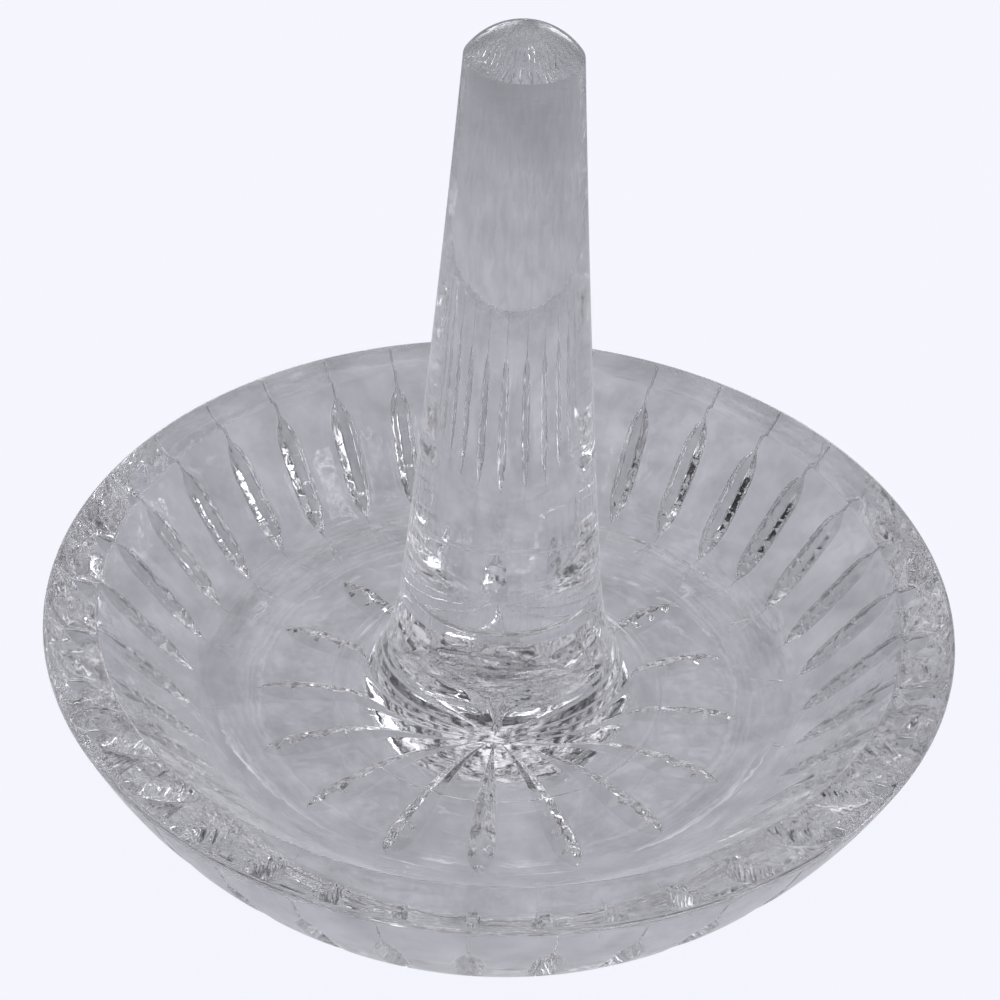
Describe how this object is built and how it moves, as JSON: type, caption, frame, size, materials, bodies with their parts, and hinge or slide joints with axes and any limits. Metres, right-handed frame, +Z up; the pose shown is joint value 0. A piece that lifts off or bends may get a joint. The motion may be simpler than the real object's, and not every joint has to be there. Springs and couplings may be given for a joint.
{
  "type": "glass ring holder",
  "caption": "Round cut glass dish with a flared fluted wall, a star cut under its base and a tapered post that rings slip over.",
  "frame": {"origin": "centre of the flat underside that the dish rests on", "axes": "+Z up along the post, +X and +Y across the dish, each in line with a ray of the star"},
  "size_m": [0.095, 0.095, 0.083],
  "materials": {
    "dish_glass": "polished clear cut crystal",
    "foot_glass": "fire polished clear crystal",
    "post_glass": "polished clear crystal"
  },
  "bodies": {
    "root": {"dish": "dish_glass", "post_foot": "foot_glass", "ring_post": "post_glass"}
  },
  "joints": []
}
